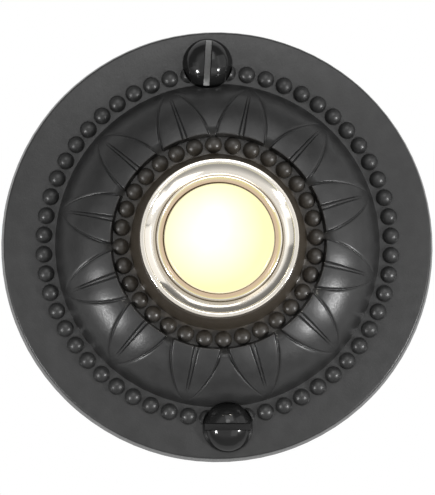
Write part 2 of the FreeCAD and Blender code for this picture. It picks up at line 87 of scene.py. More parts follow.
# The back edge, as steps in from the plate's radius and heights
BACK_EDGE = ((0.03, 0.12), (0.08, 0.0))
BACK_RING_RADIUS = 24.5
FOOT_RADIUS = 21.4
FOOT_SLOPE = math.radians(70)
GROUND_CROWN = 8.64
LEAF_CROWN = 10.28
DOME_WALL = 1.7
CHANNEL_HEIGHT = 7.4
CHANNEL_RADIUS = 13.8
ROLL_WIDTH = 1.4
ROOF_HEIGHT = 5.6
ROOF_RADIUS = 11.5
HUB_TOP_RADIUS = BEZEL_RADIUS + 0.15
HUB_BASE_RADIUS = HUB_TOP_RADIUS + 1.0
HUB_BORE_RADIUS = 8.7
# The hub's side: steps out from its top radius and up from its top, then out from its base
# radius and up from the channel
HUB_EDGE = ((-0.12, 0.0), (-0.03, -0.04), (0.01, -0.14))
HUB_FLARE = ((-0.45, 2.4), (-0.06, 0.35), (0.04, 0.1))

# Leaves and their veins
LEAF_COUNT = 12
LEAF_END_RADIUS = 14.07
LEAF_WALL_FOOT = 13.81
LEAF_TIP_RADIUS = 21.2
LEAF_WIDTH_START = 14.1
LEAF_HALF_WIDTH = 3.12
LEAF_POINTEDNESS = 0.8
LEAF_SIDE_DRAFT = math.tan(math.radians(7))
LEAF_EDGE_ROUND = 0.12
LEAF_END_FALL = 0.07
LEAF_END_EASE = 0.35
LEAF_FOOT_ROUND = 0.08
LEAF_DIP = 0.16
LEAF_DIP_WIDTH = 1.1
VEIN_HALF_WIDTH = 0.46
VEIN_TIP_SHARE = 0.4
VEIN_DEPTH = 0.17
VEIN_SINK = 0.06
# Shares of a leaf's length and of the vein's half width
VEIN_FADE = 0.08
GROOVE_MIDDLE, GROOVE_REACH = 0.62, 0.36
TRENCH_DEPTH = 0.15
TRENCH_WIDTH = 0.24
TRENCH_START, TRENCH_FADE_IN, TRENCH_FADE_OUT = 0.6, 1.2, 0.8
# Where a leaf is low or narrow, its details keep to these shares of its rise, its width or
# the gap to the next leaf
EDGE_OF_RISE, FOOT_OF_RISE = 0.45, 0.3
DETAIL_OF_WIDTH = 0.3
BANK_OF_GAP = 0.6
# The least rise that is worked out, the least that shows, and the least for a full vein
LEAST_RISE, SEEN_RISE, VEIN_RISE = 0.004, 0.005, 0.08

# The mesh across half a leaf, as shares of the vein's half width, angles round the edge and
# the foot in degrees, shares of the trench's bank with its depth there, and shares of the
# ground beyond
VEIN_COLUMNS = (0, 0.14, 0.26, 0.38, 0.5, 0.62, 0.74, 0.86, 0.98, 1.2)
EDGE_ANGLES = (28, 56, 84)
FOOT_ANGLES = (84, 56, 28, 0)
BANK_COLUMNS = ((0.33, 0.8), (0.67, 0.3), (1.0, 0.0))
GROUND_COLUMNS = (0.15, 0.4, 0.7, 1.0)

# Beads
BEAD_RADIUS = 1.125
OUTER_BEADS, OUTER_BEAD_RING = 56, 22.895
INNER_BEADS, INNER_BEAD_RING = 32, 12.8
INNER_BEAD_TURN = 0.25

# Screws
POCKET_RADIUS = 3.4
HOLE_RADIUS = 1.9
SCREW_TOP = PLATE_THICKNESS + 2.6
HEAD_RISE = 2.3
HEAD_BALL = (SCREW_HEAD_RADIUS**2 + HEAD_RISE**2) / (2 * HEAD_RISE)
HEAD_FOOT_ROUND = 0.08
SLOT_WIDTH = 0.95
SLOT_DEPTH = 1.7
SLOT_FLARE = 0.05
SLOT_CORNER = 0.08
SLOT_PAST_HEAD = 0.3
TOP_SLOT_TURN, BOTTOM_SLOT_TURN = 83.6, -3.2
NECK_RADIUS = 1.45
CORE_RADIUS = 1.2
THREAD_RADIUS = 1.75
WOOD_PITCH = 1.41
WOOD_ROWS = 14
WOOD_RIDGE = 0.42
WOOD_FADE = 0.8
POINT_LENGTH = 4.5
POINT_RADIUS = 0.12
POINT_FADE = 1.0
POINT_THREAD = 0.3
RIDGE_STEEPNESS = 1.15

# Bezel and its barrel
RIM_WIDTH = 0.6
LIP_WIDTH = 0.95
LIP_ROUND = 0.2
LIP_BEVEL = 0.75
LIP_BULGE = -0.02
COVE_DROP = 0.85
COVE_BEND = 0.65
RIM_ROUND = 0.13
RIM_DROP = 0.12
RIM_INNER_DROP = 0.15
BEZEL_BACK_ROUND = 0.1
MOUTH_RADIUS = LENS_RADIUS + 0.1
SHOULDER_HEIGHT = BEZEL_TOP - 1.6
BARREL_RADIUS = 8.6
BORE_RADIUS = 7.6
BASE_SEAT_RADIUS = 7.9
GROOVE_RADIUS = 8.2
GROOVE_WIDTH = 0.53
BASE_BACK = size("terminal_plate_left")[1][2]
BARREL_END_ROUND = 0.2
BARREL_PITCH = 0.9
BARREL_ROWS = 10
BARREL_RIDGE = 0.9
BARREL_THREAD_DEPTH = 0.25
THREAD_FRONT = 5.0
THREAD_BACK = -6.6
THREAD_FADE = 0.5

# Pearl cap
LENS_SIDE = 1.4
LENS_WALL = 1.1
LENS_EDGE_ROUND = 0.3
LENS_FOOT_ROUND = 0.08

# Contact spring
STRIP = 0.3
STRIP_WIDTH = 4.2
EYE_RADIUS = 4.3
WINDOW_RADIUS = 2.5
BEND_START = SPRING_BACK + 3.0
BEND_END = 2.2
BEND_RADIUS = 0.95
RIVET_HOLE = 0.75
RIVET_X = sum(size("spring_rivet")[k][0] for k in (0, 1)) / 2
RESISTOR_HALF = 1.9

# How far a cutter reaches past what it cuts
PAST = 1.0

# Colours, as linear light
LACQUER = (0.0145, 0.0145, 0.0145)
LACQUER_WORN = (0.019, 0.019, 0.019)
# Painted warm glow of the lit pearl on the black round the hub
LACQUER_PAINTED_GLOW = (0.038, 0.031, 0.023)
SCREW_BLACK = (0.007, 0.007, 0.007)
SCUFF_DARK, SCUFF_LIGHT = (0.14, 0.14, 0.14), (0.25, 0.25, 0.245)
NICKEL = (0.80, 0.76, 0.69)
NICKEL_DEEP = (0.74, 0.69, 0.61)
# Painted warm glow of the lit pearl on the bezel's lip
NICKEL_PAINTED_GLOW = (0.66, 0.58, 0.57)
# Painted dark shade along the seam between the lip and the cove
SEAM_PAINTED_SHADE = (0.13, 0.10, 0.06)
# Painted brown shade in the gap between the pearl and the bezel's mouth
MOUTH_PAINTED_SHADE = (0.06, 0.04, 0.015)
PEARL_SIDE = (0.90, 0.78, 0.55)
PEARL_CLOUD = (1.0, 0.93, 0.45)
PEARL_BODY = (0.05, 0.04, 0.025)
# The pearl's glow against the distance from its brightest point in millimetres
GLOW_CENTRE = (-1.2, 0.6)
GLOW = (
    (0.0, (1, 1, 1)),
    (1.2, (1, 1, 1)),
    (2.6, (1, 1, 0.89)),
    (4.0, (1, 1, 0.78)),
    (5.5, (1, 1, 0.63)),
    (7.0, (1, 0.99, 0.48)),
    (10.0, (1, 0.97, 0.44)),
)
GLOW_REACH = GLOW[-1][0]
RESISTOR_TAN, TINNED_WIRE = (0.56, 0.42, 0.25), (0.6, 0.6, 0.6)
BAND_EDGE = (0.16, 0.2)
RESISTOR_BANDS = (
    (-1.3, (0.30, 0.12, 0.04)),
    (-0.5, (0.02, 0.02, 0.02)),
    (0.3, (0.45, 0.05, 0.03)),
    (1.3, (0.60, 0.42, 0.10)),
)

# Most of what a noise gives lies between these
USUAL = (0.3, 0.7)
# Where the painted glow and painted shade fade out: radii from the button's axis, or
# distances beyond the bezel's mouth or from its seam
LACQUER_PAINTED_GLOW_FADE = (11.0, 14.5)
NICKEL_PAINTED_GLOW_FADE = (0.6, 0.8)
MOUTH_PAINTED_SHADE_FADE = (0.06, 0.15)
# Its centre lies a little left of the axis, so that the painted shade reaches further at the left
MOUTH_PAINTED_SHADE_CENTRE = (-0.06, 0.03)
SEAM_FADE = (0.05, 0.10)
SEAM_PAST_LIP = 0.09

# The room's brightness against the direction from front (-1) to back (1)
SKY = (
    (-1.0, 0.92),
    (-0.9, 1.1),
    (-0.78, 1.35),
    (-0.67, 1.0),
    (-0.54, 0.3),
    (-0.4, 0.22),
    (0.0, 0.2),
    (0.12, 1.0),
    (1.0, 1.0),
)
# From this direction on, the room is white in shiny things
SKY_BEHIND = 0.12
# In shiny things the floor is white behind the button, and more than 0.75 m in front of it
FLOOR_WHITE = (-0.75, -0.35)
FLOOR_GREY = (0.6, 0.6, 0.6, 1)
FLOOR_DEPTH, FLOOR_REACH = 600, 4000
# Soft lamps: clockwise from up and away from the front in degrees, metres off, width, brightness
LAMPS = {
    "lamp_right": (119, 54, 0.20, 0.025, 170.0),
    "lamp_left": (246, 57, 0.20, 0.025, 125.0),
    "glow_right": (78, 67, 0.30, 0.22, 1.0),
    "glow_left": (272, 54, 0.30, 0.14, 0.6),
    "glow_low": (142, 40, 0.30, 0.14, 1.0),
    "glow_front": (5, 20, 0.31, 0.09, 3.4),
    "glow_top": (20, 38, 0.30, 0.18, 1.5),
}

# The photograph's view: metres from the plate, degrees, and pixels off the picture's middle
VIEW_DISTANCE = 0.6
VIEW_AZIMUTH, VIEW_ELEVATION = -1.6, -4.6
PHOTO_TILT = 3.17
PHOTO_HEIGHT = 495
PLATE_SHIFT = (-0.05, -2.5)
VIEW_LENS, VIEW_SENSOR = 331.0, 36.0
VIEW_NEAR, VIEW_FAR = 0.05, 20.0


def to_row(points):
    """Millimetre points seen from the front, as metres in the object's frame."""
    points = np.asarray(points, float)
    return np.stack([points[..., 0], -points[..., 2], points[..., 1]], -1) * MM


def piece_from(name, points, faces):
    """A mesh object from millimetre points and faces, its place in its vertices."""
    mesh = bpy.data.meshes.new(name)
    mesh.from_pydata(to_row(points).tolist(), [], faces)
    mesh.update()
    piece = bpy.data.objects.new(name, mesh)
    bpy.context.scene.collection.objects.link(piece)
    return piece


def grid_faces(rows, columns, round_rows=False, round_columns=True):
    """Quads of a grid of points. A round direction joins its last line to its first."""
    i = np.arange(rows if round_rows else rows - 1)
    j = np.arange(columns if round_columns else columns - 1)
    i, j = np.meshgrid(i, j, indexing="ij")
    ni, nj = (i + 1) % rows, (j + 1) % columns
    corners = [i * columns + j, i * columns + nj, ni * columns + nj, ni * columns + j]
    return np.stack([c.ravel() for c in corners], -1).tolist()


def smooth(piece, degrees=50.0):
    """Smooth shading, with edges sharper than this angle kept crisp."""
    mesh = piece.data
    mesh.shade_smooth()
    mesh.set_sharp_from_angle(angle=math.radians(degrees))
    return piece


def carve(piece, other, operation):
    """Cuts another closed piece out of this one, or joins it on, and deletes the other."""
    step = piece.modifiers.new(operation.lower(), "BOOLEAN")
    step.operation = operation
    step.solver = "MANIFOLD"
    step.object = other
    graph = bpy.context.evaluated_depsgraph_get()
    mesh = bpy.data.meshes.new_from_object(piece.evaluated_get(graph))
    piece.modifiers.clear()
    old = piece.data
    piece.data = mesh
    mesh.name = piece.name
    bpy.data.meshes.remove(old)
    bpy.data.objects.remove(other)
    return piece


def crown_centre(radius):
    """Centre of a dome arc of this radius, which meets the plate at the foot slope."""
    middle = FOOT_RADIUS - radius * math.sin(FOOT_SLOPE)
    base = PLATE_THICKNESS - radius * math.cos(FOOT_SLOPE)
    return middle, base


def crown(r, radius):
    """Height of a dome arc: its centre's height plus the upright side of a right triangle."""
    middle, base = crown_centre(radius)
    return base + np.sqrt(np.maximum(radius**2 - (r - middle) ** 2, 0))


def ground_height(r):
    """Front of the rosette without leaves: channel, a soft roll, dome arc, plate.

    The roll's rise is the mean of a smooth step and of an arc that starts steep and ends level.
    """
    crest_radius = CHANNEL_RADIUS + ROLL_WIDTH
    crest = crown(crest_radius, GROUND_CROWN)
    share = np.clip((r - CHANNEL_RADIUS) / ROLL_WIDTH, 0, 1)
    rise = (share**2 * (3 - 2 * share) + 1 - (1 - share) ** 2) / 2
    roll = CHANNEL_HEIGHT + (crest - CHANNEL_HEIGHT) * rise
    height = np.where(r < crest_radius, roll, crown(r, GROUND_CROWN))
    return np.where(r < FOOT_RADIUS, height, PLATE_THICKNESS)


def leaf_height(r):
    """Top of a leaf: its drafted end wall with a rounded edge, then its own dome arc.

    The arc eases down to the edge by a parabola.
    """
    top = crown(r, LEAF_CROWN)
    share = np.clip((r - LEAF_WALL_FOOT) / (LEAF_END_RADIUS - LEAF_WALL_FOOT), 0, 1)
    wall = CHANNEL_HEIGHT + (crown(LEAF_END_RADIUS, LEAF_CROWN) - CHANNEL_HEIGHT) * share
    beyond = np.clip((r - LEAF_END_RADIUS) / LEAF_EDGE_ROUND, 0, 1)
    edge = LEAF_EDGE_ROUND * (1 - np.sqrt(1 - (1 - beyond) ** 2))
    edge += LEAF_END_FALL * (1 - np.clip((r - LEAF_END_RADIUS) / LEAF_END_EASE, 0, 1)) ** 2
    drop = (LEAF_EDGE_ROUND + LEAF_END_FALL) * share
    height = np.where(r < LEAF_END_RADIUS, wall - drop, top - edge)
    return np.where(r < FOOT_RADIUS, height, PLATE_THICKNESS)


def leaf_width(r):
    """Half width of a leaf: full at its inner end, closing to a point at the dome's foot.

    It falls as a power of one minus the square of the share of its length.
    """
    share = np.clip((r - LEAF_WIDTH_START) / (LEAF_TIP_RADIUS - LEAF_WIDTH_START), 0, 0.998)
    return LEAF_HALF_WIDTH * (1 - share**2) ** LEAF_POINTEDNESS


def rosette_rows():
    """Radii and heights of the section, a closed loop, and how many rows are the carved front.

    Rows lie close together where the front curves sharply. The last of them leave out the
    leaves: the plate's round edge, the flat back ring, the hollow under the dome and the hub.
    """
    front = np.concatenate(
        [
            np.linspace(HUB_BASE_RADIUS + 0.25, CHANNEL_RADIUS - 0.1, 5),
            np.linspace(CHANNEL_RADIUS, LEAF_END_RADIUS - 0.02, 9),
            LEAF_END_RADIUS + LEAF_EDGE_ROUND * np.array([0.08, 0.3, 0.6, 1.0]),
        ]
    )
    middle, base = crown_centre(GROUND_CROWN)
    first = math.asin((LEAF_END_RADIUS + 0.27 - middle) / GROUND_CROWN)
    dome = middle + GROUND_CROWN * np.sin(np.linspace(first, FOOT_SLOPE, 50))
    plate_edge = PLATE_RADIUS - PLATE_DRAFT - PLATE_ROUND
    plate = [FOOT_RADIUS + 0.06, 22.2, 23.6, 25.5, plate_edge]
    carved = np.concatenate([front, dome, plate])
    turn = np.radians(np.linspace(22.5, 90, 4))
    edge_r = plate_edge + PLATE_ROUND * np.sin(turn)
    edge_z = PLATE_THICKNESS - PLATE_ROUND + PLATE_ROUND * np.cos(turn)
    inner = GROUND_CROWN - DOME_WALL
    low, high = math.acos(-base / inner), math.acos((ROOF_HEIGHT - base) / inner)
    hollow = np.linspace(low, high, 12)
    outline = [(PLATE_RADIUS - step, height) for step, height in BACK_EDGE]
    outline += [(BACK_RING_RADIUS, 0.0)]
    outline += list(zip(middle + inner * np.sin(hollow), base + inner * np.cos(hollow)))
    outline += [(ROOF_RADIUS, ROOF_HEIGHT), (HUB_BORE_RADIUS, ROOF_HEIGHT)]
    outline += [(HUB_BORE_RADIUS, HUB_HEIGHT)]
    outline += [(HUB_TOP_RADIUS + out, HUB_HEIGHT + up) for out, up in HUB_EDGE]
    outline += [(HUB_BASE_RADIUS + out, CHANNEL_HEIGHT + up) for out, up in HUB_FLARE]
    outline = np.array(outline)
    r = np.concatenate([carved, edge_r, outline[:, 0]])
    z = np.concatenate([np.zeros(len(carved)), edge_z, outline[:, 1]])
    return r, z, len(carved)


def leaf_columns(r, rise):
    """Places across half a leaf, one row per radius, and how each lies between leaf and ground.

    Returns the distance of each column from the leaf's middle line in millimetres, its share
    of the leaf's height above the ground, its share of the trench's depth round the leaf, and
    the half width of the vein.
    """
    width = leaf_width(r)
    half_pitch = math.pi / LEAF_COUNT * r
    vein = VEIN_HALF_WIDTH * (1 - (1 - VEIN_TIP_SHARE) * vein_run(r))
    vein = np.minimum(vein, width * DETAIL_OF_WIDTH)
    crest = np.minimum(LEAF_EDGE_ROUND, rise * EDGE_OF_RISE)
    crest = np.minimum(crest, width * DETAIL_OF_WIDTH)
    foot = np.minimum(LEAF_FOOT_ROUND, rise * FOOT_OF_RISE)
    slant = rise * LEAF_SIDE_DRAFT
    columns = [(vein * share, 1, 0) for share in VEIN_COLUMNS]
    inner, outer = columns[-1][0], width - crest
    for share in np.linspace(0, 1, 8)[1:]:
        columns.append((inner + (outer - inner) * share, 1, 0))
    for angle in np.radians(EDGE_ANGLES):
        height = 1 - crest * (1 - math.cos(angle)) / rise
        columns.append((outer + crest * math.sin(angle), height, 0))
    for angle in np.radians(FOOT_ANGLES):
        height = foot * (1 - math.cos(angle)) / rise
        columns.append((width + slant + foot * (1 - math.sin(angle)), height, 1))
    start = columns[-1][0]
    bank = np.minimum(TRENCH_WIDTH, BANK_OF_GAP * (half_pitch - start))
    for share, sink in BANK_COLUMNS:
        columns.append((start + bank * share, 0, sink))
    for share in GROUND_COLUMNS:
        columns.append((start + bank + (half_pitch - start - bank) * share, 0, 0))
    places, shares, sinks = zip(*columns)
    shares = np.stack([share + np.zeros_like(r) for share in shares], -1)
    return np.stack(places, -1), shares, np.array(sinks, float), vein


def vein_run(r):
    """0 at a leaf's inner end and 1 at its point."""
    return np.clip((r - LEAF_END_RADIUS) / (LEAF_TIP_RADIUS - LEAF_END_RADIUS), 0, 1)


def vein_relief(r, across, vein):
    """What the vein takes off a leaf: a soft dip, and a groove on each side of a fine ridge."""
    run = vein_run(r)[:, None]
    fade = np.clip((1 - run) / VEIN_FADE, 0, 1)
    dip = LEAF_DIP * fade * np.exp(-((across / LEAF_DIP_WIDTH) ** 2))
    share = np.clip(across / vein[:, None], 0, 1)
    off = np.clip((share - GROOVE_MIDDLE) / GROOVE_REACH, -1, 1)
    groove = np.cos(math.pi / 2 * off) ** 2
    return dip + VEIN_DEPTH * fade * groove


def rosette_surface():
    """The casting's section carried round its axis, with the leaves raised on the dome.

    Across each leaf the columns follow its outline, so that its edge stays crisp. Each point's
    height is the ground's, plus the leaf's rise above it times that column's share, less the
    trench that runs round the leaf.
    """
    r, z, carved = rosette_rows()
    front = r[:carved]
    reach = np.clip(front, LEAF_WALL_FOOT, LEAF_TIP_RADIUS)
    ground = ground_height(front)
    rise = np.maximum(leaf_height(front) - ground, LEAST_RISE)
    across, share, sink, vein = leaf_columns(reach, rise)
    relief = vein_relief(reach, across, vein) * np.clip(rise / VEIN_RISE, 0, 1)[:, None]
    lifted = np.maximum(rise[:, None] - relief, -VEIN_SINK) * share
    heights = ground[:, None] + np.where(rise[:, None] > SEEN_RISE, lifted, 0)
    begin = np.clip((front - LEAF_END_RADIUS - TRENCH_START) / TRENCH_FADE_IN, 0, 1)
    end = np.clip((LEAF_TIP_RADIUS - front) / TRENCH_FADE_OUT, 0, 1)
    heights -= TRENCH_DEPTH * (begin * end)[:, None] * sink
    angles = across / reach[:, None]
    rest = len(r) - carved
    angles = np.vstack([angles, np.repeat(angles[-1:], rest, 0)])
    heights = np.vstack([heights, np.repeat(z[carved:, None], heights.shape[1], 1)])
    angles = np.hstack([-angles[:, :0:-1], angles[:, :-1]])
    heights = np.hstack([heights[:, :0:-1], heights[:, :-1]])
    pitch = TURN / LEAF_COUNT
    turns = (np.arange(LEAF_COUNT) + 0.5) * pitch
    angles = np.concatenate([angles + t for t in turns], 1)
    heights = np.concatenate([heights] * LEAF_COUNT, 1)
    radii = np.repeat(r[:, None], angles.shape[1], 1)
    return np.stack([radii * np.cos(angles), radii * np.sin(angles), heights], -1)


def ball(centre, radius, segments=20, rings=10):
    """Points and faces of a ball: rings of points about z, and a point at each pole."""
    tilt = np.linspace(0, math.pi, rings + 1)[1:-1]
    turn = np.arange(segments) * TURN / segments
    tilt, turn = np.meshgrid(tilt, turn, indexing="ij")
    shell = np.stack(
        [np.sin(tilt) * np.cos(turn), np.sin(tilt) * np.sin(turn), np.cos(tilt)], -1
    ).reshape(-1, 3)
    points = np.vstack([shell, [[0, 0, 1], [0, 0, -1]]]) * radius + np.asarray(centre)
    faces = [f[::-1] for f in grid_faces(rings - 1, segments)]
    last = (rings - 2) * segments
    for k in range(segments):
        after = (k + 1) % segments
        faces.append([len(shell), k, after])
        faces.append([len(shell) + 1, last + after, last + k])
    return points, faces


def ring_of_beads(count, ring, height, first=0.0):
    """Equal balls, evenly spaced about the axis, as one mesh of separate shells."""
    places, faces = [], []
    for k in range(count):
        turn = first + TURN * k / count
        centre = (ring * math.sin(turn), ring * math.cos(turn), height)
        points, shell = ball(centre, BEAD_RADIUS)
        offset = k * len(points)
        places.append(points)
        faces += [[offset + i for i in face] for face in shell]
    return piece_from("beads", np.vstack(places), faces)


def turned(name, section, columns=96, relief=None):
    """A section of (radius, height) points, counter-clockwise, carried round the z axis.

    A section that starts and ends on the axis is closed there by two poles, and any other
    section is a closed loop. Relief is added to the radius of each point of the grid.
    """
    section = np.asarray(section, float)
    solid = section[0, 0] == 0 and section[-1, 0] == 0
    ring = section[1:-1] if solid else section
    turn = np.arange(columns) * TURN / columns
    radius = ring[:, :1] + np.zeros(columns)
    if relief is not None:
        radius = radius + relief(ring[:, 1:], turn, radius)
    height = ring[:, 1:] + np.zeros(columns)
    grid = np.stack([radius * np.cos(turn), radius * np.sin(turn), height], -1).reshape(-1, 3)
    faces = grid_faces(len(ring), columns, round_rows=not solid)
    if solid:
        first, last, top = len(grid), len(grid) + 1, (len(ring) - 1) * columns
        k = np.arange(columns)
        after = (k + 1) % columns
        faces += np.stack([k * 0 + first, after, k], -1).tolist()
        faces += np.stack([k * 0 + last, top + k, top + after], -1).tolist()
        grid = np.vstack([grid, [[0, 0, section[0, 1]], [0, 0, section[-1, 1]]]])
    return piece_from(name, grid, faces)


def arc(r, z, radius, start, end, count=7):
    """Points of an arc round (r, z) in a section, from one angle to another in degrees."""
    turn = np.radians(np.linspace(start, end, count))
    return list(zip(r + radius * np.cos(turn), z + radius * np.sin(turn)))


def drum(radius, low, high, x=0.0, y=0.0, columns=64):
    """A plain closed cylinder along z, used to cut round holes."""
    piece = turned("drum", [(0, low), (radius, low), (radius, high), (0, high)], columns)
    piece.data.transform(Matrix.Translation(Vector((x, 0, y)) * MM))
    return piece


def prism(name, outline, low, high):
    """An outline of (x, y) points, counter-clockwise, carried from one height to another."""
    outline = np.asarray(outline, float)
    count = len(outline)
    levels = [np.column_stack([outline, np.full(count, z)]) for z in (low, high)]
    faces = grid_faces(2, count)
    faces += [list(range(count))[::-1], list(range(count, 2 * count))]
    return piece_from(name, np.vstack(levels), faces)


def rosette():
    """The casting: carved front, both rings of beads, screw pockets and holes."""
    points = rosette_surface()[::-1]
    rows, columns = points.shape[:2]
    faces = grid_faces(rows, columns, round_rows=True)
    piece = piece_from("rosette_casting", points.reshape(-1, 3), faces)
    carve(piece, ring_of_beads(OUTER_BEADS, OUTER_BEAD_RING, PLATE_THICKNESS), "UNION")
    first = math.radians(INNER_BEAD_TURN)
    carve(piece, ring_of_beads(INNER_BEADS, INNER_BEAD_RING, CHANNEL_HEIGHT, first), "UNION")
    for y in (SCREW_Y, -SCREW_Y):
        carve(piece, drum(POCKET_RADIUS, PLATE_THICKNESS, HUB_HEIGHT, 0, y), "DIFFERENCE")
        carve(piece, drum(HOLE_RADIUS, -PAST, PLATE_THICKNESS + PAST, 0, y), "DIFFERENCE")
    return smooth(piece, 40)


def ridge(phase, width):
    """A thread's ridge: 1 on its crest, 0 beyond half its width, with a rounded crest."""
    away = np.abs(phase - np.floor(phase) - 0.5) / (width / 2)
    return np.clip(RIDGE_STEEPNESS * (1 - away), 0, 1)


def barrel_thread(z, turn, radius):
    """Fine thread on the barrel's outside, cut below its outer size."""
    phase = z / BARREL_PITCH - turn / TURN
    behind, front = (z - THREAD_BACK) / THREAD_FADE, (THREAD_FRONT - z) / THREAD_FADE
    share = np.clip(behind, 0, 1) * np.clip(front, 0, 1)
    cut = BARREL_THREAD_DEPTH * (1 - ridge(phase, BARREL_RIDGE)) * share
    return np.where(radius > BARREL_RADIUS - 0.02, -cut, 0)


def bezel_shell():
    """Bezel and barrel in one: full rim, hollow cove, bevelled lip, threaded tube.

    The rim has a round outer corner and a nearly level top. The cove falls from it along a
    parabola that levels out at the lip. The lip's bevel is hollow by a sine under a straight line.
    """
    across = np.linspace(-1, 1, 13)
    rim_r = BEZEL_RADIUS - RIM_ROUND - (RIM_WIDTH - RIM_ROUND) * (across + 1) / 2
    rim_z = BEZEL_TOP - RIM_DROP * np.where(across > 0, across**3, RIM_INNER_DROP * across**2)
    lip_crest = MOUTH_RADIUS + LIP_WIDTH - LIP_ROUND
    down = np.linspace(0, 1, 12)
    swell = LIP_BULGE * np.sin(math.pi * down)
    bevel = math.atan2(LIP_BEVEL, lip_crest - MOUTH_RADIUS)
    bevel_r = lip_crest + (MOUTH_RADIUS - lip_crest) * down - swell * math.sin(bevel)
    bevel_z = BEZEL_TOP - LIP_BEVEL * down + swell * math.cos(bevel)
    cove_edge, cove_foot = BEZEL_RADIUS - RIM_WIDTH, MOUTH_RADIUS + LIP_WIDTH
    share = np.linspace(0, 1, 18)[1:]
    cove_r = cove_edge + (cove_foot - cove_edge) * share
    fall = (1 + COVE_BEND - COVE_BEND * share) * share
    cove_z = BEZEL_TOP - RIM_DROP - (COVE_DROP - RIM_DROP) * fall
    levels = np.arange(THREAD_BACK, THREAD_FRONT, BARREL_PITCH / BARREL_ROWS)
    section = [(BARREL_RADIUS - BARREL_END_ROUND, BARREL_BACK)]
    section += [(BARREL_RADIUS, BARREL_BACK + BARREL_END_ROUND)]
    section += [(BARREL_RADIUS, z) for z in levels]
    section += [(BARREL_RADIUS, THREAD_FRONT + 0.1), (BARREL_RADIUS, HUB_HEIGHT)]
    corner = BEZEL_BACK_ROUND
    section += arc(BEZEL_RADIUS - corner, HUB_HEIGHT + corner, corner, -90, 0, 4)
    section += arc(BEZEL_RADIUS - RIM_ROUND, rim_z[0] - RIM_ROUND, RIM_ROUND, 0, 75, 6)
    section += list(zip(rim_r, rim_z)) + list(zip(cove_r, cove_z))
    section += arc(lip_crest, BEZEL_TOP - LIP_ROUND, LIP_ROUND, 0, 90, 7)
    section += list(zip(bevel_r[1:], bevel_z[1:]))
    section += [
        (MOUTH_RADIUS, SHOULDER_HEIGHT),
        (BORE_RADIUS, SHOULDER_HEIGHT),
        (BORE_RADIUS, BASE_FRONT),
        (BASE_SEAT_RADIUS, BASE_FRONT),
        (BASE_SEAT_RADIUS, BASE_BACK),
        (GROOVE_RADIUS, BASE_BACK),
        (GROOVE_RADIUS, BASE_BACK - GROOVE_WIDTH),
        (BASE_SEAT_RADIUS, BASE_BACK - GROOVE_WIDTH),
        (BASE_SEAT_RADIUS, BARREL_BACK),
    ]
    return smooth(turned("bezel_and_barrel", section, 160, barrel_thread), 40)


def pearl_lens():
    """The domed cap: a flat-sided rim with a rounded edge and a shallow ball, hollow below."""
    rise = LENS_TOP - LENS_FOOT - LENS_SIDE
    outer_ball = (LENS_RADIUS**2 + rise**2) / (2 * rise)
    radii = np.linspace(LENS_RADIUS - LENS_EDGE_ROUND, 0, 24)
    outer = LENS_TOP - outer_ball + np.sqrt(outer_ball**2 - radii**2)
    inside = np.linspace(0, LENS_RADIUS - LENS_WALL, 16)
    inner = outer[-1] - LENS_WALL - (outer_ball - np.sqrt(outer_ball**2 - inside**2))
    section = list(zip(inside, inner)) + [(LENS_RADIUS - LENS_WALL, LENS_FOOT)]
    foot, edge = LENS_FOOT_ROUND, LENS_EDGE_ROUND
    section += arc(LENS_RADIUS - foot, LENS_FOOT + foot, foot, -90, 0, 3)
    section += arc(LENS_RADIUS - edge, outer[0] - edge, edge, 0, 80, 8)
    section += list(zip(radii, outer))
    return smooth(turned("pearl_cap", section, 128))


def wood_thread(z, turn, radius):
    """A wood screw's thread: a thin ridge that winds up a core, which tapers to the point."""
    phase = z / WOOD_PITCH - turn / TURN
    taper = np.clip((z - SCREW_POINT) / POINT_LENGTH, 0, 1)
    share = np.clip(-z / WOOD_FADE, 0, 1) * np.clip((z - SCREW_POINT) / POINT_FADE, 0, 1)
    growth = (THREAD_RADIUS - CORE_RADIUS) * ridge(phase, WOOD_RIDGE) * share
    growth = growth * (POINT_THREAD + (1 - POINT_THREAD) * taper)
    return np.where(z < 0, growth, 0)


def head_height(r):
    """Height of a screw's domed head at a distance from its axis."""
    return SCREW_TOP - HEAD_BALL + np.sqrt(HEAD_BALL**2 - r**2)


def slot_cutter(turn_degrees, centre_y):
    """A bar with the slot's section, its top edges flared so that they follow the head."""
    end = SCREW_HEAD_RADIUS + SLOT_PAST_HEAD
    along = np.linspace(-end, end, 41)
    top = head_height(np.minimum(np.abs(along), SCREW_HEAD_RADIUS))
    half, level = SLOT_WIDTH / 2, SCREW_TOP - SLOT_DEPTH
    brim = np.maximum(top, level + 2 * SLOT_FLARE)
    side = [(half - SLOT_CORNER, 0 * brim + level), (half, 0 * brim + level + SLOT_CORNER)]
    side += [(half, brim - SLOT_FLARE), (half + 2 * SLOT_FLARE, brim + SLOT_FLARE)]
    side += [(half + 2 * SLOT_FLARE, brim + PAST)]
    loop = side + [(-x, z) for x, z in side[::-1]]
    points = np.stack([np.stack([along, 0 * along + x, z], -1) for x, z in loop], 1)
    turn = math.radians(turn_degrees)
    x = points[..., 0] * math.cos(turn) - points[..., 1] * math.sin(turn)
    y = points[..., 0] * math.sin(turn) + points[..., 1] * math.cos(turn)
    points = np.stack([x, y + centre_y, points[..., 2]], -1)
    faces = grid_faces(len(along), len(loop))
    count, last = len(loop), (len(along) - 1) * len(loop)
    faces += [list(range(count))[::-1], [last + k for k in range(count)]]
    return piece_from("slot", points.reshape(-1, 3), faces)


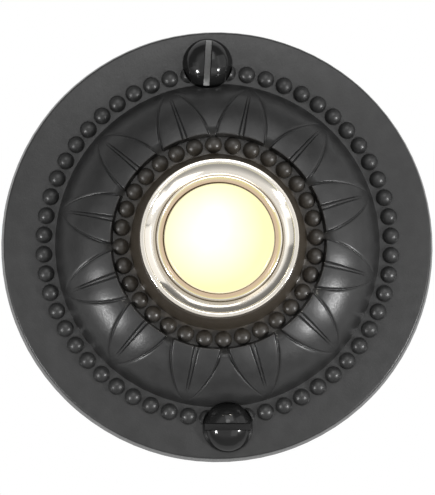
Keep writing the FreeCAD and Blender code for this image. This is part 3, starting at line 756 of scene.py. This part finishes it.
def mounting_screw(name, centre_y, slot_degrees):
    """A round-head wood screw: pointed, threaded core, plain neck, domed head with a slot."""
    radii = np.linspace(SCREW_HEAD_RADIUS - 0.06, 0, 26)
    point = np.arange(0.15, POINT_LENGTH, WOOD_PITCH / WOOD_ROWS)
    core = np.arange(SCREW_POINT + POINT_LENGTH, 0.0, WOOD_PITCH / WOOD_ROWS)
    cone = POINT_RADIUS + (CORE_RADIUS - POINT_RADIUS) * point / POINT_LENGTH
    section = [(0, SCREW_POINT)] + list(zip(cone, SCREW_POINT + point))
    section += [(CORE_RADIUS, z) for z in core]
    section += [(NECK_RADIUS, 0.1), (NECK_RADIUS, PLATE_THICKNESS)]
    foot = HEAD_FOOT_ROUND
    section += arc(SCREW_HEAD_RADIUS - foot, PLATE_THICKNESS + foot, foot, -90, 0, 3)
    section += [(SCREW_HEAD_RADIUS, SCREW_TOP - HEAD_RISE - 0.05)]
    section += list(zip(radii, head_height(radii)))
    piece = turned(name, section, 72, wood_thread)
    piece.data.transform(Matrix.Translation(Vector((0, 0, centre_y)) * MM))
    carve(piece, slot_cutter(slot_degrees, centre_y), "DIFFERENCE")
    return smooth(piece, 35)


def contact_spring():
    """The bronze strip: its bent side view carried across, cut to its flat outline."""
    low, high = BASE_FRONT + STRIP / 2, SPRING_TOP - STRIP / 2
    ramp = math.atan2(high - low, BEND_END - BEND_START)
    reach = BEND_RADIUS * math.tan(ramp / 2)
    turn = np.linspace(0, ramp, 8)
    x = BEND_START - reach + BEND_RADIUS * np.sin(turn)
    z = low + BEND_RADIUS * (1 - np.cos(turn))
    rest = (BEND_START + BEND_END - x)[::-1]
    x = np.concatenate([[SPRING_BACK - PAST], x, rest, [SPRING_TIP]])
    z = np.concatenate([[low], z, (low + high - z)[::-1], [high]])
    slope = np.concatenate([[0], turn, turn[::-1], [0]])
    shift_x, shift_z = STRIP / 2 * np.sin(slope), STRIP / 2 * np.cos(slope)
    under = np.stack([x + shift_x, z - shift_z], -1)
    over = np.stack([x - shift_x, z + shift_z], -1)
    loop = np.vstack([under, over[::-1]])
    piece = prism("spring_strip", loop, -EYE_RADIUS, EYE_RADIUS)
    piece.data.transform(Matrix.Rotation(math.pi / 2, 4, "X"))
    mouth = math.asin(STRIP_WIDTH / 2 / EYE_RADIUS)
    foot = math.asin(STRIP_WIDTH / 2 / -SPRING_BACK)
    around = np.linspace(mouth, math.pi - mouth, 40)
    back = np.linspace(math.pi - foot, math.pi + foot, 12)
    eye = np.stack([EYE_RADIUS * np.cos(around), EYE_RADIUS * np.sin(around)], -1)
    heel = np.stack([-SPRING_BACK * np.cos(back), -SPRING_BACK * np.sin(back)], -1)
    tip = [(SPRING_TIP + PAST, side * STRIP_WIDTH / 2) for side in (-1, 1)]
    plan = np.vstack([tip, eye, heel, -eye])
    under, over = BASE_FRONT - PAST, SPRING_TOP + PAST
    carve(piece, prism("plan", plan, under, over), "INTERSECT")
    carve(piece, drum(WINDOW_RADIUS, under, over), "DIFFERENCE")
    carve(piece, drum(RIVET_HOLE, under, over, RIVET_X), "DIFFERENCE")
    return smooth(piece, 35)


class Finish:
    """A procedural material under construction. Its patterns read Object coordinates."""

    def __init__(self, name, colour, roughness, **sockets):
        self.material = bpy.data.materials.new(name)
        self.material.use_nodes = True
        self.tree = self.material.node_tree
        self.surface = self.tree.nodes["Principled BSDF"]
        self.set(self.surface, {"Base Color": (*colour, 1), "Roughness": roughness})
        self.set(self.surface, {key.replace("_", " "): v for key, v in sockets.items()})
        self.place = self.tree.nodes.new("ShaderNodeTexCoord").outputs["Object"]

    def set(self, node, values):
        """Puts a constant into each named socket, or links the socket that is given."""
        for key, value in values.items():
            if isinstance(value, bpy.types.NodeSocket):
                self.tree.links.new(value, node.inputs[key])
            else:
                node.inputs[key].default_value = value

    def add(self, kind, values=(), **settings):
        """A new node with these settings and these values on its sockets."""
        node = self.tree.nodes.new("ShaderNode" + kind)
        for key, value in settings.items():
            setattr(node, key, value)
        self.set(node, dict(values))
        return node

    def noise(self, size_mm, detail=2.0, stretch=(1, 1, 1)):
        """Noise with grains of about this size, between 0 and 1, stretched along an axis."""
        place = self.add("Mapping", {"Vector": self.place, "Scale": stretch})
        values = {"Vector": place.outputs["Vector"], "Scale": 1 / (size_mm * MM), "Detail": detail}
        return self.add("TexNoise", values).outputs["Fac"]

    def ramp(self, value, low, high, start, end):
        """A value carried from one range to another, and held at both ends."""
        values = {"From Min": low, "From Max": high, "To Min": start, "To Max": end}
        return self.add("MapRange", {"Value": value, **values}).outputs["Result"]

    def mix(self, share, first, second):
        """Two colours mixed by a share between 0 and 1."""
        node = self.add("Mix", {"Factor": share}, data_type="RGBA")
        for key, colour in (("A_Color", first), ("B_Color", second)):
            socket = next(s for s in node.inputs if s.identifier == key)
            if isinstance(colour, bpy.types.NodeSocket):
                self.tree.links.new(colour, socket)
            else:
                socket.default_value = (*colour, 1)
        return next(s for s in node.outputs if s.identifier == "Result_Color")

    def off(self, value, middle):
        """How far a value lies from this one, either way."""
        step = self.add("Math", {0: value, 1: middle}, operation="SUBTRACT").outputs[0]
        return self.add("Math", {0: step}, operation="ABSOLUTE").outputs[0]

    def colour(self, value):
        """Links a colour to the surface."""
        self.set(self.surface, {"Base Color": value})

    def rough(self, value):
        """Links a roughness to the surface."""
        self.set(self.surface, {"Roughness": value})

    def bump(self, height, depth_mm):
        """Relief of this depth, added over any that the surface already has."""
        values = {"Height": height, "Distance": depth_mm * MM, "Strength": 1.0}
        links = self.surface.inputs["Normal"].links
        if links:
            values["Normal"] = links[0].from_socket
        self.set(self.surface, {"Normal": self.add("Bump", values).outputs["Normal"]})

    def radius(self, x=0.0, z=0.0):
        """Distance from the button's axis, or from a line beside it, in millimetres."""
        flat = self.add("Mapping", {"Vector": self.place, "Scale": (1 / MM, 0, 1 / MM)})
        flat.inputs["Location"].default_value = (-x, 0, -z)
        values = {0: flat.outputs["Vector"]}
        return self.add("VectorMath", values, operation="LENGTH").outputs["Value"]


def black_lacquer():
    """Satin black over the casting, with a fine grain, and a painted warm glow of the lit button,
    browner near it.
    """
    paint = Finish("black_lacquer", LACQUER, 0.36, Specular_IOR_Level=0.35)
    # Painted light: the lit pearl's warm glow, browner towards the hub
    near = paint.ramp(paint.radius(), *LACQUER_PAINTED_GLOW_FADE, 1.0, 0.0)
    cloud = paint.ramp(paint.noise(size_mm=1.6), 0.35, 0.65, 0.0, 1.0)
    worn = paint.mix(cloud, LACQUER, LACQUER_WORN)
    paint.colour(paint.mix(near, worn, LACQUER_PAINTED_GLOW))
    grain = paint.noise(size_mm=0.25, detail=3.0)
    paint.rough(paint.ramp(grain, *USUAL, 0.31, 0.42))
    paint.bump(grain, depth_mm=0.014)
    paint.bump(paint.noise(size_mm=0.9), depth_mm=0.012)
    return paint.material


def glossy_black(name):
    """The screws' smooth black, with scuffed metal where a driver has rubbed the slot."""
    paint = Finish(name, SCREW_BLACK, 0.12, Specular_IOR_Level=0.3)
    rubbed = paint.add("Attribute", attribute_name="rubbed").outputs["Fac"]
    streak = paint.noise(size_mm=0.12, detail=3.0, stretch=(1, 1, 0.35))
    scuffed = paint.mix(streak, SCUFF_DARK, SCUFF_LIGHT)
    paint.colour(paint.mix(rubbed, SCREW_BLACK, scuffed))
    paint.rough(paint.ramp(rubbed, 0, 1, 0.12, 0.5))
    paint.bump(paint.noise(size_mm=1.1, detail=1.0), depth_mm=0.03)
    paint.bump(paint.noise(size_mm=0.3), depth_mm=0.004)
    return paint.material


def polished_nickel():
    """Nickel polished on the lathe: faint rings of polish, and soft clouds in its shine.

    It has painted light: the lit pearl's warm glow on the lip, brown shade in the gap round the
    pearl, more so at the left, and dark shade in the lip's seam.
    """
    made = Finish("polished_nickel", NICKEL, 0.1, Metallic=1.0)
    cloud = made.noise(size_mm=1.4)
    toned = made.mix(cloud, NICKEL, NICKEL_DEEP)
    away = made.radius()
    # Painted light: the lit pearl's warm glow on the lip, and brown shade in the gap round it
    tones = (
        (away, NICKEL_PAINTED_GLOW_FADE, NICKEL_PAINTED_GLOW),
        (made.radius(*MOUTH_PAINTED_SHADE_CENTRE), MOUTH_PAINTED_SHADE_FADE, MOUTH_PAINTED_SHADE),
    )
    for radius, (low, high), tone in tones:
        near = made.ramp(radius, MOUTH_RADIUS + low, MOUTH_RADIUS + high, 1.0, 0.0)
        toned = made.mix(near, toned, tone)
    # Painted shade along the seam between the lip and the cove
    seam = made.off(away, MOUTH_RADIUS + LIP_WIDTH + SEAM_PAST_LIP)
    made.colour(made.mix(made.ramp(seam, *SEAM_FADE, 1.0, 0.0), toned, SEAM_PAINTED_SHADE))
    made.rough(made.ramp(cloud, *USUAL, 0.07, 0.14))
    polish = made.add("CombineXYZ", {"X": made.radius()}).outputs["Vector"]
    rings = made.add("TexNoise", {"Vector": polish, "Scale": 9.0, "Detail": 3.0})
    made.bump(rings.outputs["Fac"], depth_mm=0.0012)
    made.bump(made.noise(size_mm=2.2), depth_mm=0.004)
    return made.material


def set_stops(ramp, stops):
    """Gives a colour ramp these places, from 0 to 1, and their colours."""
    for place, colour in stops[1:-1]:
        ramp.elements.new(place).color = (*colour, 1)
    ramp.elements[0].color = (*stops[0][1], 1)
    ramp.elements[-1].color = (*stops[-1][1], 1)


def lit_pearl():
    """The pearl, lit from behind: white over the lamp, pale yellow beyond, cream at its side."""
    cap = Finish("lit_pearl", PEARL_BODY, 0.25)
    away = cap.radius(*GLOW_CENTRE)
    glow = cap.add("ValToRGB", {"Fac": cap.ramp(away, 0, GLOW_REACH, 0, 1)})
    set_stops(glow.color_ramp, [(place / GLOW_REACH, colour) for place, colour in GLOW])
    rim = cap.ramp(cap.radius(), LENS_RADIUS - 0.1, LENS_RADIUS, 0.0, 1.0)
    cloud = cap.ramp(cap.noise(size_mm=2.5), *USUAL, 0, 0.08)
    milky = cap.mix(cloud, glow.outputs["Color"], PEARL_CLOUD)
    shine = cap.mix(rim, milky, PEARL_SIDE)
    cap.set(cap.surface, {"Emission Color": shine, "Emission Strength": 1.0})
    return cap.material


def metal(name, light, dark, rough=0.3, grain_mm=0.25, depth_mm=0.004, **sockets):
    """A plain metal or plating: two tones in clouds, and a fine grain in shine and surface."""
    made = Finish(name, light, rough, Metallic=1.0, **sockets)
    made.colour(made.mix(made.ramp(made.noise(size_mm=1.2), *USUAL, 0, 1), light, dark))
    grain = made.noise(grain_mm, detail=3.0)
    made.rough(made.ramp(grain, *USUAL, rough * 0.75, rough * 1.3))
    made.bump(grain, depth_mm)
    return made.material


def moulded(name, light, dark, rough=0.45, grain_mm=0.2, depth_mm=0.006, **sockets):
    """A moulded or painted surface: faint mottling, and the fine texture of the mould."""
    made = Finish(name, light, rough, **sockets)
    made.colour(made.mix(made.ramp(made.noise(size_mm=1.5), *USUAL, 0, 1), light, dark))
    grain = made.noise(grain_mm)
    made.rough(made.ramp(grain, *USUAL, rough * 0.85, rough * 1.15))
    made.bump(grain, depth_mm)
    return made.material


def resistor_paint():
    """Tan lacquer with four painted bands round the body, and tinned wire beyond it."""
    paint = Finish("resistor_lacquer", RESISTOR_TAN, 0.35)
    along = paint.add("SeparateXYZ", {"Vector": paint.place}).outputs["X"]
    mixed = RESISTOR_TAN
    for place, band in RESISTOR_BANDS:
        away = paint.off(along, place * MM)
        share = paint.ramp(away, BAND_EDGE[0] * MM, BAND_EDGE[1] * MM, 1.0, 0.0)
        mixed = paint.mix(share, mixed, band)
    reach = paint.off(along, 0.0)
    wire = paint.ramp(reach, RESISTOR_HALF * MM, (RESISTOR_HALF + 0.02) * MM, 0.0, 1.0)
    paint.colour(paint.mix(wire, mixed, TINNED_WIRE))
    paint.set(paint.surface, {"Metallic": wire})
    paint.bump(paint.noise(size_mm=0.4), depth_mm=0.006)
    return paint.material


def paint_piece(piece, material):
    """One material all over a piece."""
    piece.data.materials.clear()
    piece.data.materials.append(material)


def mark_slot(piece, centre_y, rubbed):
    """Says on each face how far a driver has rubbed it: the slot's floor, and nothing else.

    The floor's faces lie at its depth, within a little, and look straight out of the wall.
    """
    mesh = piece.data
    count = len(mesh.polygons)
    normals, centres = np.empty(count * 3), np.empty(count * 3)
    mesh.polygons.foreach_get("normal", normals)
    mesh.polygons.foreach_get("center", centres)
    centres = centres.reshape(-1, 3) / MM
    level = np.abs(-centres[:, 1] - (SCREW_TOP - SLOT_DEPTH)) < 0.03
    outward = normals.reshape(-1, 3)[:, 1] < -0.9
    near = np.abs(centres[:, 2] - centre_y) < SCREW_HEAD_RADIUS
    marks = np.where(level & outward & near, rubbed, 0.0)
    layer = mesh.attributes.new("rubbed", "FLOAT", "FACE")
    layer.data.foreach_set("value", marks.astype(np.float32))


def dress(piece, body, slot, material, *nodes):
    """Finishes a new piece: its material, its body and what it stands for. Its slot is not used.
    """
    paint_piece(piece, material)
    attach(piece, body)
    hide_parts(*nodes)
    return piece


def dress_frame():
    """Finishes for the CAD pieces that stay as they are."""
    plated = metal("plated_brass", (0.78, 0.60, 0.28), (0.68, 0.50, 0.22), 0.28)
    contact = metal("contact_brass", (0.80, 0.62, 0.30), (0.66, 0.48, 0.21), 0.34)
    zinc = metal("zinc_plate", (0.66, 0.67, 0.70), (0.56, 0.58, 0.60), 0.3)
    steel = metal("spring_steel", (0.42, 0.42, 0.43), (0.30, 0.30, 0.32), 0.38)
    white = moulded("white_plastic", (0.78, 0.76, 0.70), (0.72, 0.69, 0.62))
    base = moulded("dark_moulding", (0.030, 0.020, 0.014), (0.045, 0.028, 0.018), 0.4)
    lamp = moulded("lamp_resin", (0.80, 0.86, 0.88), (0.74, 0.80, 0.83), 0.12, depth_mm=0.002)
    finishes = {
        "hub_washer": plated,
        "hub_nut": plated,
        "button_carrier": white,
        "terminal_base": base,
        "base_retaining_ring": steel,
        "lamp": lamp,
        "resistor": resistor_paint(),
        "fixed_contact": contact,
        "spring_rivet": contact,
        "terminal_plate_left": contact,
        "terminal_plate_right": contact,
        "terminal_screw_left": zinc,
        "terminal_screw_right": zinc,
    }
    for node, material in finishes.items():
        paint_piece(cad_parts[node], material)


def white_share(tree, shiny):
    """1 for the camera's rays, and this share for rays off metal and through glass."""
    seen = tree.nodes.new("ShaderNodeLightPath")
    white = seen.outputs["Is Camera Ray"]
    for ray in ("Is Glossy Ray", "Is Transmission Ray"):
        step = tree.nodes.new("ShaderNodeMath")
        step.operation, step.use_clamp = "MULTIPLY_ADD", True
        tree.links.new(seen.outputs[ray], step.inputs[0])
        tree.links.new(shiny, step.inputs[1])
        tree.links.new(white, step.inputs[2])
        white = step.outputs["Value"]
    return white


def sky():
    """A white room, bright in front and behind, and dimmer beside the button.

    What the camera sees of it is white, and so is what shines behind the button in its metal.
    """
    world = bpy.data.worlds.new("studio")
    bpy.context.scene.world = world
    world.use_nodes = True
    nodes, links = world.node_tree.nodes, world.node_tree.links
    light = nodes["Background"]
    away = nodes.new("ShaderNodeTexCoord")
    split = nodes.new("ShaderNodeSeparateXYZ")
    share = nodes.new("ShaderNodeMapRange")
    ramp = nodes.new("ShaderNodeValToRGB")
    mix = nodes.new("ShaderNodeMix")
    mix.data_type = "RGBA"
    links.new(away.outputs["Generated"], split.inputs["Vector"])
    links.new(split.outputs["Y"], share.inputs["Value"])
    share.inputs["From Min"].default_value = -1.0
    links.new(share.outputs["Result"], ramp.inputs["Fac"])
    set_stops(ramp.color_ramp, [((place + 1) / 2, [value] * 3) for place, value in SKY])
    behind = nodes.new("ShaderNodeMath")
    behind.operation = "GREATER_THAN"
    behind.inputs[1].default_value = SKY_BEHIND
    links.new(split.outputs["Y"], behind.inputs[0])
    sockets = {s.identifier: s for s in mix.inputs}
    white = white_share(world.node_tree, behind.outputs["Value"])
    links.new(white, sockets["Factor_Float"])
    links.new(ramp.outputs["Color"], sockets["A_Color"])
    sockets["B_Color"].default_value = (1, 1, 1, 1)
    result = next(s for s in mix.outputs if s.identifier == "Result_Color")
    links.new(result, light.inputs["Color"])


def soft_lamp(name, clockwise, from_front, distance, width, brightness):
    """A square soft lamp that faces the button. Its power follows from its brightness."""
    data = bpy.data.lights.new(name, "AREA")
    data.shape, data.size, data.energy = "SQUARE", width, math.pi * width**2 * brightness
    lamp = bpy.data.objects.new(name, data)
    bpy.context.scene.collection.objects.link(lamp)
    turn, lean = math.radians(clockwise - PHOTO_TILT), math.radians(from_front)
    aside = math.sin(lean)
    away = Vector((aside * math.sin(turn), -math.cos(lean), aside * math.cos(turn)))
    lamp.location = away * distance
    lamp.rotation_mode = "QUATERNION"
    lamp.rotation_quaternion = away.to_track_quat("Z", "Y")
    return lamp


def floor():
    """A plain pale floor, far below, and white to the camera."""
    corners = [(-1, 1), (1, 1), (1, -1), (-1, -1)]
    points = [(x * FLOOR_REACH, -FLOOR_DEPTH, z * FLOOR_REACH) for x, z in corners]
    piece = piece_from("floor", points, [[0, 3, 2, 1]])
    pale = bpy.data.materials.new("pale_floor")
    pale.use_nodes = True
    nodes, links = pale.node_tree.nodes, pale.node_tree.links
    glow, mix = nodes.new("ShaderNodeEmission"), nodes.new("ShaderNodeMixShader")
    out, plain = nodes["Material Output"], nodes["Principled BSDF"]
    plain.inputs["Base Color"].default_value = FLOOR_GREY
    plain.inputs["Roughness"].default_value = 0.9
    place, split = nodes.new("ShaderNodeTexCoord"), nodes.new("ShaderNodeSeparateXYZ")
    behind, front = nodes.new("ShaderNodeMath"), nodes.new("ShaderNodeMapRange")
    shiny = nodes.new("ShaderNodeMath")
    behind.operation, shiny.operation = "GREATER_THAN", "ADD"
    behind.inputs[1].default_value = 0.0
    front.inputs["From Min"].default_value, front.inputs["From Max"].default_value = FLOOR_WHITE
    front.inputs["To Min"].default_value, front.inputs["To Max"].default_value = 1.0, 0.0
    links.new(place.outputs["Object"], split.inputs["Vector"])
    links.new(split.outputs["Y"], behind.inputs[0])
    links.new(split.outputs["Y"], front.inputs["Value"])
    links.new(behind.outputs["Value"], shiny.inputs[0])
    links.new(front.outputs["Result"], shiny.inputs[1])
    links.new(white_share(pale.node_tree, shiny.outputs["Value"]), mix.inputs["Fac"])
    links.new(plain.outputs["BSDF"], mix.inputs[1])
    links.new(glow.outputs["Emission"], mix.inputs[2])
    links.new(mix.outputs["Shader"], out.inputs["Surface"])
    paint_piece(piece, pale)


def camera():
    """A long lens a little below the button's axis, rolled as the photograph is."""
    data = bpy.data.cameras.new("camera")
    data.lens, data.sensor_width = VIEW_LENS, VIEW_SENSOR
    data.clip_start, data.clip_end = VIEW_NEAR, VIEW_FAR
    data.shift_x, data.shift_y = (pixels / PHOTO_HEIGHT for pixels in PLATE_SHIFT)
    piece = bpy.data.objects.new("camera", data)
    bpy.context.scene.collection.objects.link(piece)
    a, e = math.radians(VIEW_AZIMUTH), math.radians(VIEW_ELEVATION)
    back = Vector((math.sin(a) * math.cos(e), -math.cos(a) * math.cos(e), math.sin(e)))
    piece.location = Vector((0, -PLATE_THICKNESS * MM, 0)) + back * VIEW_DISTANCE
    roll = Quaternion((0, 0, 1), math.radians(-PHOTO_TILT))
    piece.rotation_mode = "QUATERNION"
    piece.rotation_quaternion = back.to_track_quat("Z", "Y") @ roll
    bpy.context.scene.camera = piece


lacquer = black_lacquer()
nickel = polished_nickel()
dress(rosette(), "housing", "black_cast", lacquer, "rosette")
for name, y, degrees, rubbed in (
    ("mounting_screw_top", SCREW_Y, TOP_SLOT_TURN, 1.0),
    ("mounting_screw_bottom", -SCREW_Y, BOTTOM_SLOT_TURN, 0.0),
):
    screw = mounting_screw(name.replace("mounting", "slotted"), y, degrees)
    mark_slot(screw, y, rubbed)
    dress(screw, "housing", "black_screw", glossy_black(name + "_finish"), name)
dress(bezel_shell(), "housing", "nickel", nickel, "bezel_shell")
dress(pearl_lens(), "button", "pearl_plastic", lit_pearl(), "pearl_lens")
bronze = metal("phosphor_bronze", (0.72, 0.44, 0.24), (0.60, 0.34, 0.18), 0.3)
strip = dress(contact_spring(), "housing", "bronze", bronze, "contact_spring")
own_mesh(strip)
dress_frame()

sky()
for name, settings in LAMPS.items():
    soft_lamp(name, *settings)
floor()
camera()
bpy.context.scene.view_settings.view_transform = "Standard"
